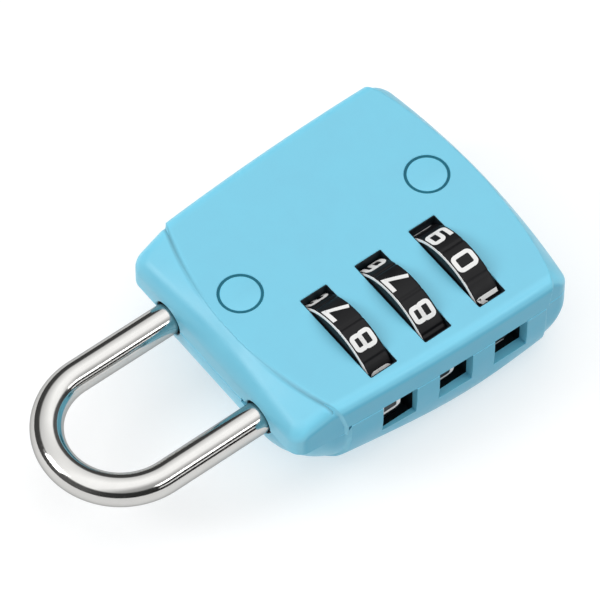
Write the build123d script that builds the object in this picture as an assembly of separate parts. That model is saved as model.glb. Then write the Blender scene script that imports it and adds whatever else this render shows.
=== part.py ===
from build123d import *
import os
from math import cos, radians, sin

os.makedirs("parts", exist_ok=True)

# Three-dial luggage padlock, lying on its back: +Z out of the front, +Y towards the shackle's bow.
# The origin is under the middle of the whole lock, on the surface that it rests on. Millimetres.

# Driving dimensions: shackle
WIRE = 3.5                      # diameter of the shackle's wire
LEG_X = 7.6                     # each leg's axis is this far from the middle
BOW_RISE = 19.15                # from the body's end face to the bow's centre line
SHORT_LEG_DEPTH = 5.2           # how far the short leg reaches into the body
TIP_CHAMFER = 0.35

# Driving dimensions: body
BODY_LENGTH = 35.6              # along Y, at the middle
HALF_WIDTH_NEAR = 14.0          # of the heads, at the shackle end
HALF_WIDTH_MIDDLE = 15.4
HALF_WIDTH_FAR = 15.5
WAIST_SHARE = 0.42              # the widest place is this share of the length from the far end
FAR_ARCH = 1.1                  # how far the far end bows out
CORNER = 1.7                    # corner radius in plan, at the sides
BACK_CORNER_FAR = 2.4           # around the back face's far corners
BACK_CORNERS_NEAR = (5.5, 7.0)  # the back cover's near corners stand back under the front cover's:
                                # around the back face, and where the covers meet
BACK_DEPTH = 7.8                # from the shackle's plane to the back face
FRONT_HEIGHT = 5.3              # from the shackle's plane to the front face
PARTING = 1.4                   # the covers meet this far above the shackle's plane
STEP_FROM_END = 6.1             # and in the plane itself up to this far from the shackle end
BACK_ROUND_SIDES = (7.0, 2.2, 4.0)  # how far the sides draw in at the back: near end, waist, far end
BACK_ROUND_ENDS = (7.0, 4.0)    # and the near and far end faces
BACK_ROUND_HEIGHT = 7.2
FRONT_ROUND = 1.4
BAND_PROUD = 0.35               # the waist band stands this far out of the heads
END_FACE_TOP = 3.4              # top of the end faces above the shackle's plane
CREASE_REACH = 20.0             # the creases are arcs drawn out to this far from the middle
FLATTEST_ARCH = 0.1             # rise of an arc that is nearly straight
CREASE_FRONT = ((2.2, 7.4), (1.5, 5.0))     # at the near and far end, their distance from the end
                                            # face on the front: in the middle and at their reach
CREASE_PARTING = ((2.2, 9.2), (1.5, 6.0))   # on the front cover's lower edge
CREASE_BACK = ((2.2, 9.9), (1.5, 6.5))      # on the back cover

# Driving dimensions: dials and their clutches
DIAL_RADIUS = 7.0
DIAL_WIDTH = 3.1
DIAL_PITCH = 7.0
DIAL_CHAMFER = 0.25
GROOVE_RADIUS = 0.5             # of the shallow finger grooves between a dial's digits
GROOVE_DEPTH = 0.12
FIRST_DIAL = 11.65              # first dial's middle, from the shackle-end face
DIGITS = 10
DIGIT_STEP = 360 / DIGITS
DIAL_POCKET = 0.15              # radial room around a dial
WINDOW_LENGTH = 11.8
WINDOW_WIDTH = 3.4
WINDOW_FLOOR = 3.4              # the windows end this far in front of the long leg's axis
SIDE_WINDOW_WIDTH = 4.2
SIDE_WINDOW_HEIGHT = 4.4
SIDE_WINDOW_FLOOR = 5.4         # and the side windows this far beside it
SIDE_WINDOW_SHIFT = 0.7         # the side windows lie this much nearer the far end than the dials
DIAL_PHASES = (-15.5, -8.5, 10.5)   # degrees from straight up to the nearest digit, towards -X
CLUTCH_LENGTH = 6.9
TOOTH_TIP = 3.7                 # radius over the clutch's teeth
TOOTH_ROOT = 3.35
TOOTH_WIDTH = 0.9
LUG_TIP = 2.75                  # the shackle's lugs reach this far from the leg's axis
LUG_LENGTH = 0.8
LUG_WIDTH = 1.1
LUG_FROM_DIAL = 2.8             # each lug lies this far beyond its dial's middle
LUG_PLAY = 0.2                  # room around a lug in its clutch
RUNNING = 0.10                  # radial clearance of what turns or slides
NOTCH_HALF_WIDTH = 0.4          # of the reset notch beside the long leg's hole
NOTCH_DEPTH = 1.4
THRUST_LENGTH = 1.15            # of the ring between the first clutch and the end wall
WASHER_THICKNESS = 0.5
SPRING_WIRE = 0.44              # clutch spring: wire, coil and turns
SPRING_MEAN_RADIUS = 2.75
SPRING_TURNS = 2.5
END_PLAY = 0.05                 # along Y, between neighbours on the long leg
END_WALL = 2.4                  # thickness of the far end wall, behind the spring
SOCKET_PLAY = 0.4               # room past the short leg's tip
LIGHT_POCKET_X = (3.0, 11.8)    # the empty room beside the dials, across the body
LIGHT_POCKET_FLOOR = 3.0        # thickness of the wall behind it
LIGHT_POCKET_ROOF = 1.6         # and in front of it
LIGHT_POCKET_ENDS = (2.6, 0.6)  # it reaches past the first dial's middle, and stops short of the last's

# Driving dimensions: fasteners
SCREW_X = 2.7
SCREW_YS = (5.7, 29.9)          # from the shackle-end face
PLUG_RADIUS = 2.2
PLUG_GAP = 0.12
PLUG_THICKNESS = 0.9
PLUG_SUNK = 0.02                # a plug's face lies this far below the front
SCREW_SEAT_DEPTH = 2.6          # of the screws' seats below the front
SCREW_TIP_HEIGHT = 2.4          # of the screws' tips above the back face
SCREW_HEAD_RADIUS = 1.9
SCREW_HEAD_HEIGHT = 1.1
SCREW_SHANK_RADIUS = 0.9
RECESS = (1.9, 0.45, 0.6)       # cross recess in each head: length, width, depth

# Places in the model's frame
OVERALL_LENGTH = BODY_LENGTH + BOW_RISE + WIRE / 2
END_Y = OVERALL_LENGTH / 2 - BOW_RISE - WIRE / 2
FAR_Y = END_Y - BODY_LENGTH
AXIS_Z = BACK_DEPTH
FRONT_Z = AXIS_Z + FRONT_HEIGHT
PARTING_Z = AXIS_Z + PARTING
DIAL_YS = [END_Y - FIRST_DIAL - i * DIAL_PITCH for i in range(3)]
WIRE_RADIUS = WIRE / 2
THRUST_FAR = DIAL_YS[0] + CLUTCH_LENGTH / 2 + END_PLAY
THRUST_NEAR = THRUST_FAR + THRUST_LENGTH
WASHER_NEAR = DIAL_YS[2] - CLUTCH_LENGTH / 2 - END_PLAY
WASHER_FAR = WASHER_NEAR - WASHER_THICKNESS


def rod(radius, y_from, y_to, x=-LEG_X, z=AXIS_Z):
    """A round bar along Y, on the long leg's axis unless told otherwise."""
    middle = (y_from + y_to) / 2
    return Pos(x, middle, z) * Rot(90, 0, 0) * Cylinder(radius, abs(y_to - y_from))


def block(x_from, x_to, y_from, y_to, z_from, z_to):
    """A box between two opposite corners."""
    centre = ((x_from + x_to) / 2, (y_from + y_to) / 2, (z_from + z_to) / 2)
    return Pos(*centre) * Box(abs(x_to - x_from), abs(y_to - y_from), abs(z_to - z_from))


def plan(z, sides=(0, 0, 0), ends=(0, 0), near_corner=CORNER, far_corner=CORNER):
    """The body's outline seen from the front: bulging sides, flat near end, arched far end.

    The sides are drawn in by so much at the near end, waist and far end, and the end faces likewise.
    """
    widths = (HALF_WIDTH_NEAR, HALF_WIDTH_MIDDLE, HALF_WIDTH_FAR)
    near, middle, far = (width - inset for width, inset in zip(widths, sides))
    top, bottom = END_Y - ends[0], FAR_Y + ends[1]
    bottom_corner = bottom + FAR_ARCH
    waist_y = FAR_Y + WAIST_SHARE * BODY_LENGTH
    edges = [
        Line((-near, top), (near, top)),
        ThreePointArc((near, top), (middle, waist_y), (far, bottom_corner)),
        ThreePointArc((far, bottom_corner), (0, bottom), (-far, bottom_corner)),
        ThreePointArc((-far, bottom_corner), (-middle, waist_y), (-near, top)),
    ]
    outline = make_face(Wire(edges))
    for end, corner in ((-1, near_corner), (0, far_corner)):
        outline = fillet(outline.vertices().group_by(Axis.Y)[end], corner)
    return Pos(0, 0, z) * outline


def grown_plan(grow, z):
    """The outline moved outward all around, with the front cover's corners."""
    return plan(z, (-grow,) * 3, (-grow,) * 2)


def rounded_back(grow):
    """The body below the parting plane, rounded into its flat back; grow widens it."""
    steps = 6
    low_corner, high_corner = BACK_CORNERS_NEAR
    sections = []
    for i in range(steps + 1):
        angle = radians(90 * i / steps)
        share = 1 - sin(angle)
        z = BACK_ROUND_HEIGHT * (1 - cos(angle))
        sides = [inset * share - grow for inset in BACK_ROUND_SIDES]
        ends = [inset * share - grow for inset in BACK_ROUND_ENDS]
        near_corner = low_corner + (high_corner - low_corner) * sin(angle)
        far_corner = CORNER + (BACK_CORNER_FAR - CORNER) * cos(angle)
        sections.append(plan(z, sides, ends, near_corner, far_corner))
    sections.append(plan(PARTING_Z, (-grow,) * 3, (-grow,) * 2, high_corner))
    return loft([section.face() for section in sections], ruled=True)


def rounded_front(grow):
    """The body above the parting plane, with its front edge rounded."""
    slab = extrude(grown_plan(grow, PARTING_Z), FRONT_Z - PARTING_Z)
    return fillet(slab.edges().group_by(Axis.Z)[-1], FRONT_ROUND)


def band(*levels):
    """The waist's arched band, as a tall slab: its edges are the creases given for each height."""
    side = CREASE_REACH
    sections = []
    for ((near_middle, near_reach), (far_middle, far_reach)), z in levels:
        near, far = END_Y - near_reach, FAR_Y + far_reach
        edges = [
            ThreePointArc((-side, near), (0, END_Y - near_middle), (side, near)),
            Line((side, near), (side, far)),
            ThreePointArc((side, far), (0, FAR_Y + far_middle), (-side, far)),
            Line((-side, far), (-side, near)),
        ]
        sections.append((Pos(0, 0, z) * make_face(Wire(edges))).face())
    return loft(sections, ruled=True)


def shoulder_cut(end, towards, crease):
    """What is cut away so that the front slopes from the crease down to an end face's top."""
    side, beyond = CREASE_REACH, CREASE_REACH / 5

    def region(middle, reach, z):
        middle_y = end - towards * middle
        side_y = end - towards * reach
        out_y = end + towards * beyond
        edges = [
            ThreePointArc((-side, side_y), (0, middle_y), (side, side_y)),
            Line((side, side_y), (side, out_y)),
            Line((side, out_y), (-side, out_y)),
            Line((-side, out_y), (-side, side_y)),
        ]
        return (Pos(0, 0, z) * make_face(Wire(edges))).face()

    end_arch = FAR_ARCH * (side / HALF_WIDTH_FAR) ** 2 if towards < 0 else FLATTEST_ARCH
    upper = region(*crease, FRONT_Z)
    lower = region(0.0, end_arch, AXIS_Z + END_FACE_TOP)
    above = extrude(upper, 1.0)
    return loft([lower, upper], ruled=True) + above


def dial_pocket():
    """Room for the dials, their clutches, the detent strip and the spring, along the long leg."""
    room = rod(TOOTH_TIP + RUNNING, THRUST_NEAR + END_PLAY, FAR_Y + END_WALL)
    for y in DIAL_YS:
        room += rod(DIAL_RADIUS + DIAL_POCKET, y - WINDOW_WIDTH / 2, y + WINDOW_WIDTH / 2)
    return room


def leg_bores():
    """The long leg's bore with its key notch, and the short leg's blind socket."""
    long_bore = rod(WIRE_RADIUS + RUNNING / 2, END_Y + 1, DIAL_YS[0])
    notch = block(-LEG_X, -LEG_X + LUG_TIP, END_Y - NOTCH_DEPTH, END_Y + 1,
                  AXIS_Z - NOTCH_HALF_WIDTH, AXIS_Z + NOTCH_HALF_WIDTH)
    socket_end = END_Y - SHORT_LEG_DEPTH - SOCKET_PLAY
    socket = rod(WIRE_RADIUS + RUNNING / 2, END_Y + 1, socket_end, x=LEG_X)
    return long_bore + notch + socket


def front_windows():
    """Long windows in the front, one over each dial."""
    x_from, x_to = -LEG_X - WINDOW_LENGTH / 2, -LEG_X + WINDOW_LENGTH / 2
    half = WINDOW_WIDTH / 2
    return [block(x_from, x_to, y - half, y + half, AXIS_Z + WINDOW_FLOOR, FRONT_Z + 1) for y in DIAL_YS]


def side_windows():
    """Small windows in the side, below the parting line, where a dial's edge can be turned."""
    half = SIDE_WINDOW_WIDTH / 2
    windows = []
    for y in DIAL_YS:
        middle = y - SIDE_WINDOW_SHIFT
        windows.append(block(-CREASE_REACH, -LEG_X - SIDE_WINDOW_FLOOR, middle - half, middle + half,
                             PARTING_Z - SIDE_WINDOW_HEIGHT, PARTING_Z))
    return windows


DETENT_CLEAR = 0.25                         # between the detent strip's fingers and the dials
DETENT_X = -LEG_X + DIAL_RADIUS + DETENT_CLEAR
DETENT_THICKNESS = 0.3
DETENT_STANDOFF = 0.8                       # the strip's back lies this far behind its tips
DETENT_HALF_HEIGHT = 1.6
FINGER_FOOT, FINGER_TIP = 1.4, 0.35         # half widths of a finger at its foot and tip
DETENT_OVERHANG = 2.6                       # the strip reaches this far past the outer dials' middles


def detent_slot():
    """The slot that holds the detent strip upright beside the dials."""
    x_from = -LEG_X + TOOTH_TIP - 1
    x_to = DETENT_X + DETENT_STANDOFF + DETENT_THICKNESS
    return block(x_from, x_to, DIAL_YS[0] + DETENT_OVERHANG, DIAL_YS[2] - DETENT_OVERHANG,
                 AXIS_Z - DETENT_HALF_HEIGHT, AXIS_Z + DETENT_HALF_HEIGHT)


def light_pocket():
    """The empty room beside the dials that keeps the moulding's walls even."""
    near, far = DIAL_YS[0] + LIGHT_POCKET_ENDS[0], DIAL_YS[2] - LIGHT_POCKET_ENDS[1]
    return block(*LIGHT_POCKET_X, near, far, LIGHT_POCKET_FLOOR, FRONT_Z - LIGHT_POCKET_ROOF)


def screw_places():
    return [(SCREW_X, END_Y - y) for y in SCREW_YS]


def upright(radius, x, y, z_from, z_to):
    """A round bar along Z."""
    return Pos(x, y, (z_from + z_to) / 2) * Cylinder(radius, z_to - z_from)


SCREW_SEAT_Z = FRONT_Z - SCREW_SEAT_DEPTH
PLUG_SEAT_Z = FRONT_Z - PLUG_THICKNESS


def screw_holes():
    """Stepped holes for the plugs, the screws' heads and their shanks."""
    holes = []
    for x, y in screw_places():
        holes.append(upright(PLUG_RADIUS + PLUG_GAP, x, y, PLUG_SEAT_Z, FRONT_Z + 1))
        holes.append(upright(SCREW_HEAD_RADIUS + RUNNING, x, y, SCREW_SEAT_Z, PLUG_SEAT_Z))
        tip = SCREW_TIP_HEIGHT - RUNNING
        holes.append(upright(SCREW_SHANK_RADIUS + RUNNING / 5, x, y, tip, SCREW_SEAT_Z))
    return holes


def covers():
    """The front and back covers, cut from the same body where they meet.

    The front cover reaches down to the shackle's plane around the legs' holes, and elsewhere ends
    a little above it, where the side windows start.
    """
    front_band = band((CREASE_PARTING, PARTING_Z), (CREASE_FRONT, FRONT_Z))
    back_band = band((CREASE_BACK, 0), (CREASE_BACK, PARTING_Z))
    hollows = dial_pocket() + leg_bores() + detent_slot() + light_pocket()
    side, step_y = CREASE_REACH, END_Y - STEP_FROM_END
    step = block(-side, side, step_y, END_Y + side, AXIS_Z, PARTING_Z)
    back = rounded_back(0) + (rounded_back(BAND_PROUD) & back_band)
    skirt = extrude(grown_plan(0, AXIS_Z), PARTING) & step
    front = rounded_front(0) + (rounded_front(BAND_PROUD) & front_band) + skirt
    near_crease, far_crease = CREASE_FRONT
    front -= shoulder_cut(END_Y, 1, near_crease)
    front -= shoulder_cut(FAR_Y, -1, far_crease)
    front = front - hollows - front_windows() - screw_holes()
    back = back - step - hollows - side_windows() - screw_holes()
    return front, back


def shackle():
    """Bent wire with a long leg that carries one lug behind each clutch, and a short leg."""
    bow_y = END_Y + BOW_RISE - LEG_X
    tip_y = DIAL_YS[2] - LUG_FROM_DIAL - 2 * LUG_LENGTH
    short_tip_y = END_Y - SHORT_LEG_DEPTH
    path = Wire([
        Line((-LEG_X, tip_y, AXIS_Z), (-LEG_X, bow_y, AXIS_Z)),
        ThreePointArc((-LEG_X, bow_y, AXIS_Z), (0, bow_y + LEG_X, AXIS_Z), (LEG_X, bow_y, AXIS_Z)),
        Line((LEG_X, bow_y, AXIS_Z), (LEG_X, short_tip_y, AXIS_Z)),
    ])
    section = Plane(origin=(-LEG_X, tip_y, AXIS_Z), z_dir=(0, 1, 0)) * Circle(WIRE_RADIUS)
    wire = sweep(section, path=path)
    tips = wire.edges().filter_by(GeomType.CIRCLE).group_by(Axis.Y)
    wire = chamfer([edge for edge in tips[0] + tips[1]], TIP_CHAMFER)
    for y in DIAL_YS:
        middle = y - LUG_FROM_DIAL
        wire += block(-LEG_X + LUG_TIP / 5, -LEG_X + LUG_TIP, middle - LUG_LENGTH / 2,
                      middle + LUG_LENGTH / 2, AXIS_Z - LUG_WIDTH / 2, AXIS_Z + LUG_WIDTH / 2)
    return wire


def spline_profile(tip, root, y_from, y_to):
    """A toothed bar along Y: one tooth per digit, on a round core."""
    bar = rod(root, y_from, y_to)
    tooth_width = TOOTH_WIDTH * (tip / TOOTH_TIP)
    middle = (y_from + y_to) / 2
    for i in range(DIGITS):
        tooth = Box(tip, y_to - y_from, tooth_width)
        turn = Pos(-LEG_X, middle, AXIS_Z) * Rot(0, DIGIT_STEP * (i + 0.5), 0)
        bar += turn * Pos(tip / 2, 0, 0) * tooth
    return bar & rod(tip, y_from, y_to)


def dial(y, phase):
    """A number ring: broken edges, a finger groove between digits, toothed bore."""
    half = DIAL_WIDTH / 2
    ring = rod(DIAL_RADIUS, y - half, y + half)
    ring = chamfer(ring.edges().filter_by(GeomType.CIRCLE), DIAL_CHAMFER)
    reach = DIAL_RADIUS + GROOVE_RADIUS - GROOVE_DEPTH
    for i in range(DIGITS):
        angle = radians(phase + DIGIT_STEP * (i + 0.5))
        ring -= rod(GROOVE_RADIUS, y - half - 1, y + half + 1,
                    x=-LEG_X - reach * sin(angle), z=AXIS_Z + reach * cos(angle))
    bore = spline_profile(TOOTH_TIP + RUNNING / 2, TOOTH_ROOT + RUNNING / 2, y - half - 1, y + half + 1)
    return ring - bore


def clutch(y):
    """A toothed sleeve: a slot lets the shackle's lug through only when it faces the lug."""
    far, near = y - CLUTCH_LENGTH / 2, y + CLUTCH_LENGTH / 2
    lug_room = LUG_TIP + LUG_PLAY
    body = spline_profile(TOOTH_TIP, TOOTH_ROOT, far, near)
    body -= rod(WIRE_RADIUS + RUNNING, far - 1, near + 1)
    body -= rod(lug_room, far - 1, y - LUG_FROM_DIAL + LUG_LENGTH / 2 + LUG_PLAY)
    slot_half = LUG_WIDTH / 2 + LUG_PLAY
    body -= block(-LEG_X, -LEG_X + lug_room, far - 1, near + 1,
                  AXIS_Z - slot_half, AXIS_Z + slot_half)
    return body


def thrust_ring():
    """Holds the first clutch off the end wall and leaves room for the first lug when lifted."""
    outer, inner = TOOTH_TIP + RUNNING / 2, LUG_TIP + LUG_PLAY
    return rod(outer, THRUST_FAR, THRUST_NEAR) - rod(inner, THRUST_FAR - 1, THRUST_NEAR + 1)


def pressure_washer():
    """Carries the spring's push to the last clutch."""
    hole = rod(WIRE_RADIUS + RUNNING, WASHER_FAR - 1, WASHER_NEAR + 1)
    return rod(TOOTH_TIP, WASHER_FAR, WASHER_NEAR) - hole


def clutch_spring():
    """The coil spring that keeps the clutches in their dials, in its working length."""
    radius = SPRING_WIRE / 2
    standoff = radius + RUNNING / 5
    start = WASHER_FAR - standoff
    length = start - (FAR_Y + END_WALL) - standoff
    coil = Helix(pitch=length / SPRING_TURNS, height=length, radius=SPRING_MEAN_RADIUS)
    section = Plane(origin=coil @ 0, z_dir=coil % 0) * Circle(radius)
    spring = sweep(section, path=coil, is_frenet=True)
    return Pos(-LEG_X, start, AXIS_Z) * Rot(90, 0, 0) * spring


def detent_spring():
    """A spring strip with one bowed finger beside each dial."""
    back_x = DETENT_X + DETENT_STANDOFF
    front_x = back_x - DETENT_STANDOFF
    overhang = DETENT_OVERHANG - RUNNING
    y_near, y_far = DIAL_YS[0] + overhang, DIAL_YS[2] - overhang
    half = DETENT_HALF_HEIGHT - RUNNING
    strip = block(back_x, back_x + DETENT_THICKNESS, y_near, y_far, AXIS_Z - half, AXIS_Z + half)
    for y in DIAL_YS:
        finger = Polygon((back_x, -FINGER_FOOT), (back_x, FINGER_FOOT), (front_x, FINGER_TIP),
                         (front_x, -FINGER_TIP), align=None)
        strip += Pos(0, y, AXIS_Z - half) * extrude(finger, 2 * half)
    return strip


def cover_screws():
    """Two screws that hold the covers together, each with a cross recess."""
    screws = []
    length, width, depth = RECESS
    head_top = SCREW_SEAT_Z + SCREW_HEAD_HEIGHT
    for x, y in screw_places():
        screw = upright(SCREW_HEAD_RADIUS, x, y, SCREW_SEAT_Z, head_top)
        screw += upright(SCREW_SHANK_RADIUS, x, y, SCREW_TIP_HEIGHT, SCREW_SEAT_Z)
        for span_x, span_y in ((length, width), (width, length)):
            screw -= Pos(x, y, head_top) * Box(span_x, span_y, 2 * depth)
        screws.append(screw)
    return Compound(children=screws)


def screw_plugs():
    """Two round plugs that close the screws' holes flush with the front."""
    top = FRONT_Z - PLUG_SUNK
    plugs = [upright(PLUG_RADIUS, x, y, PLUG_SEAT_Z, top) for x, y in screw_places()]
    return Compound(children=plugs)


front_cover, back_cover = covers()
nodes = {
    "front_cover": front_cover,
    "back_cover": back_cover,
    "shackle": shackle(),
    "thrust_ring": thrust_ring(),
    "pressure_washer": pressure_washer(),
    "clutch_spring": clutch_spring(),
    "detent_spring": detent_spring(),
    "cover_screws": cover_screws(),
    "screw_plugs": screw_plugs(),
}
for i, (dial_y, dial_phase) in enumerate(zip(DIAL_YS, DIAL_PHASES), start=1):
    nodes[f"dial_{i}"] = dial(dial_y, dial_phase)
    nodes[f"clutch_{i}"] = clutch(dial_y)

for name, solid in nodes.items():
    export_step(solid, f"parts/{name}.step")
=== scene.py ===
from math import acos, atan2, ceil, cos, pi, radians, sin, tan

import bmesh
import bpy
import numpy as np
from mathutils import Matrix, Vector


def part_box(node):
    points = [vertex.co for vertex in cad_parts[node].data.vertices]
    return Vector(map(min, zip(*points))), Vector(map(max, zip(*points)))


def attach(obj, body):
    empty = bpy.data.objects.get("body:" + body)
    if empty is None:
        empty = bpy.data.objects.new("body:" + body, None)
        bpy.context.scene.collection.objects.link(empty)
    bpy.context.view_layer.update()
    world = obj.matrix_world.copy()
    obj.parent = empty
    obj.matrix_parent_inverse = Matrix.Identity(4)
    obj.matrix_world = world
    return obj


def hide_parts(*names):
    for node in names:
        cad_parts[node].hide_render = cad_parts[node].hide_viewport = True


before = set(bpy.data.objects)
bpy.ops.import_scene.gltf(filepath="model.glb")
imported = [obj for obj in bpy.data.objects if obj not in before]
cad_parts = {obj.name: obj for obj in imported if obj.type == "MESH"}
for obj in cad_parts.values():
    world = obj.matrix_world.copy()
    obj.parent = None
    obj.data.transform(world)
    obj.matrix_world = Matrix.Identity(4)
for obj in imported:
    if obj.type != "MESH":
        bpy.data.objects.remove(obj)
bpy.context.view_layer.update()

# Shapes are worked out in millimetres in the frame's own axes and scaled once, in add_mesh.
MM = 0.001


def box_mm(node):
    """Lowest and highest corner of a CAD node, in millimetres."""
    low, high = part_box(node)
    return np.array(low) / MM, np.array(high) / MM


# ---------------------------------------------------------------- places taken from the frame
FRONT_LOW, FRONT_HIGH = box_mm("front_cover")
SHACKLE_LOW, SHACKLE_HIGH = box_mm("shackle")
BACK_HIGH = box_mm("back_cover")[1]
END_Y, FAR_Y = FRONT_HIGH[1], FRONT_LOW[1]
FRONT_Z = FRONT_HIGH[2]
PARTING_Z = BACK_HIGH[2]
AXIS_Z = (SHACKLE_LOW[2] + SHACKLE_HIGH[2]) / 2
WIRE_RADIUS = (SHACKLE_HIGH[2] - SHACKLE_LOW[2]) / 2
LEG_X = SHACKLE_HIGH[0] - WIRE_RADIUS
DIALS = ("dial_1", "dial_2", "dial_3")
DIAL_YS = [float(np.mean([box_mm(d)[0][1], box_mm(d)[1][1]])) for d in DIALS]
DIAL_WIDTH = box_mm("dial_1")[1][1] - box_mm("dial_1")[0][1]
DIAL_RADIUS = box_mm("dial_1")[1][0] + LEG_X
PLUG_LOW, PLUG_HIGH = box_mm("screw_plugs")
PLUG_X = (PLUG_LOW[0] + PLUG_HIGH[0]) / 2
PLUG_RADIUS = (PLUG_HIGH[0] - PLUG_LOW[0]) / 2
PLUG_YS = (PLUG_HIGH[1] - PLUG_RADIUS, PLUG_LOW[1] + PLUG_RADIUS)

# ---------------------------------------------------------------- the covers' outline
# The near end is the shackle's end.
HALF_WIDTHS = (14.0, 15.4, 15.5)        # near end, waist, far end
WAIST_Y = FAR_Y + 0.42 * (END_Y - FAR_Y)
FAR_ARCH = 1.1                  # the far end bulges by this much in its middle
CORNER = 1.7                    # corner radius in plan
BACK_CORNER_FAR = 2.4
BACK_CORNERS_NEAR = (5.5, 7.0)  # around the back face, and where the covers meet
BAND_PROUD = 0.345              # the waist band stands this far out of the heads
BAND_EDGE = 0.35                # width of the band's softened edge
BAND_FADE = 2.5                 # the band dies out over this width of the front

# ---------------------------------------------------------------- the covers' heights and creases
STEP_Y = END_Y - 6.1            # the covers meet lower between here and the near end
SEAM = 0.1                      # chamfer of the covers' meeting edges
SEAM_GAP = 0.07                 # half the gap between the covers at the step
FRONT_ROUND = 1.4               # radius of the front's edge
FRONT_TIGHTENING = 0.6          # share of an inset that the front's corners lose from their radius
BACK_ROUND_HEIGHT = 7.2         # the back rounds off below this height
BACK_ROUND_SIDES = (7.0, 2.2, 4.0)      # by so much at the sides: near end, waist, far end
BACK_ROUND_ENDS = (7.0, 4.0)            # and at the near and far end faces
SHOULDER_DROP = 1.9             # the front slopes down by this much at each end
CREASE_REACH = 20.0             # a crease is a parabola, given at its middle and this far out
CREASE_FRONT = ((2.2, 7.4), (1.5, 5.0))     # distances from the near and far end faces, at the front
CREASE_PARTING = ((2.2, 9.2), (1.5, 6.0))   # on the front cover's lower edge
CREASE_BACK = ((2.2, 9.9), (1.5, 6.5))      # on the back cover
CREASE_SOFTNESS = 0.3
GROOVE_ALONG_CREASE = 0.16      # depth of the soft groove that runs along the near crease
GROOVE_WIDTH = 0.24
GROOVE_SHIFT = 0.1              # the groove's middle lies this much nearer the end than the crease
PAINTED_SHADE_WIDTH = 0.36              # half width of the painted shade along the groove
PAINTED_SHADE_SHIFT = 0.12

# ---------------------------------------------------------------- openings and the hollow inside
WINDOW_LENGTH, WINDOW_WIDTH = 11.8, 3.4
SIDE_WINDOW_WIDTH, SIDE_WINDOW_HEIGHT = 4.2, 4.4
SIDE_WINDOW_SHIFT = 0.7         # the side windows lie this much nearer the far end than the dials
SIDE_FLOOR_DROP = 1.4           # the room behind a side window reaches this much lower
ROOM_RADIUS = 3.8               # the bore that the clutches turn in
ROOM_PAST_DIAL = 4.75           # its end, from the first dial's middle: the lifted lug stays clear
FAR_WALL = 2.4
DIAL_ROOM = 0.15                # around a dial in its pocket
LEG_ROOM = 0.26                 # around a leg in its hole
HOLE_FLARE = 0.12               # broken edge of the legs' holes
SOCKET_DEPTH = 5.6              # of the short leg's hole
SHORT_LEG_DEPTH = 5.2
NOTCH_HALF_WIDTH = 0.35         # of the reset notch beside the long leg's hole
NOTCH_DEPTH = 1.4
LUG_TIP = 2.75                  # the notch and the lugs reach this far from the long leg's axis
PLUG_THICKNESS = 0.9
PLUG_SUNK = 0.02                # a plug's face lies this far below the front
PLUG_HOLE_ROOM = 0.22           # around a plug in its hole, which shows as a thin ring

# ---------------------------------------------------------------- dials and digits
# A reading is the digit nearest the top, after its angle in degrees from straight up, towards -X.
DIAL_READINGS = ((-15.5, 7), (-8.5, 7), (10.5, 0))
DIGIT_STEP = 36.0
DIGIT_WIDTH, DIGIT_HEIGHT, STROKE = 2.1, 2.6, 0.48
PRINT_HIGH, PRINT_LOW = 0.005, 0.05     # the print's face and foot lie this far inside a dial's radius
GROOVE_DEPTH, GROOVE_HALF_WIDTH = 0.09, 0.35
DIAL_EDGE = 0.22                # radius of a dial's rounded edges
DIAL_BORE = 3.75                # radius of a dial's bore
RIM_SUNK = 0.04                 # a dial's rim lies this far inside its radius


# ---------------------------------------------------------------- mesh helpers
def add_mesh(name, points, faces):
    """A new object from points in millimetres."""
    mesh = bpy.data.meshes.new(name)
    mesh.from_pydata((np.asarray(points, float) * MM).tolist(), [], faces)
    mesh.validate()
    bm = bmesh.new()
    bm.from_mesh(mesh)
    bmesh.ops.recalc_face_normals(bm, faces=bm.faces)
    bm.to_mesh(mesh)
    bm.free()
    obj = bpy.data.objects.new(name, mesh)
    bpy.context.scene.collection.objects.link(obj)
    return obj


def loft(name, rings, closed=False, first_cap=None):
    """A skin over rings of equally many points. Closed joins the last ring to the first."""
    count, size = len(rings), len(rings[0])
    points = np.concatenate(rings)
    faces = []
    for i in range(count if closed else count - 1):
        a, b = i * size, ((i + 1) % count) * size
        for j in range(size):
            k = (j + 1) % size
            faces.append((a + j, a + k, b + k, b + j))
    if not closed:
        faces += first_cap or [tuple(range(size))]
        faces.append(tuple(range((count - 1) * size, count * size)))
    return add_mesh(name, points, faces)


def lathe(name, profile, centre, axis="Y", segments=160):
    """A closed ring or disc: profile is a closed loop of (radius, height along the axis)."""
    angles = np.linspace(0, 2 * pi, segments, endpoint=False)
    rings = []
    for angle in angles:
        radius = np.array([p[0] for p in profile])
        along = np.array([p[1] for p in profile])
        u, v = radius * cos(angle), radius * sin(angle)
        local = {"Y": (u, along, v), "Z": (u, v, along)}[axis]
        rings.append(np.stack(local, 1) + np.asarray(centre))
    return loft(name, rings, closed=True)


def cylinder(name, radius, start, end, centre, axis="Y", flare=0.0, segments=96):
    """A plain round bar along an axis, flared at its end when asked."""
    angles = np.linspace(0, 2 * pi, segments, endpoint=False)
    stations = [(radius, start), (radius, end - flare)]
    if flare:
        stations.append((radius + flare * 1.5, end + flare * 0.5))
    rings = []
    for r, along in stations:
        u, v, w = r * np.cos(angles), r * np.sin(angles), np.full(segments, along)
        local = {"Y": (u, w, v), "Z": (u, v, w)}[axis]
        rings.append(np.stack(local, 1) + np.asarray(centre))
    return loft(name, rings)


def slab(name, low, high):
    """A box between two corners."""
    (x0, y0, z0), (x1, y1, z1) = low, high
    ring = [(x0, y0), (x1, y0), (x1, y1), (x0, y1)]
    return loft(name, [np.array([(x, y, z) for x, y in ring]) for z in (z0, z1)])


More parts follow.
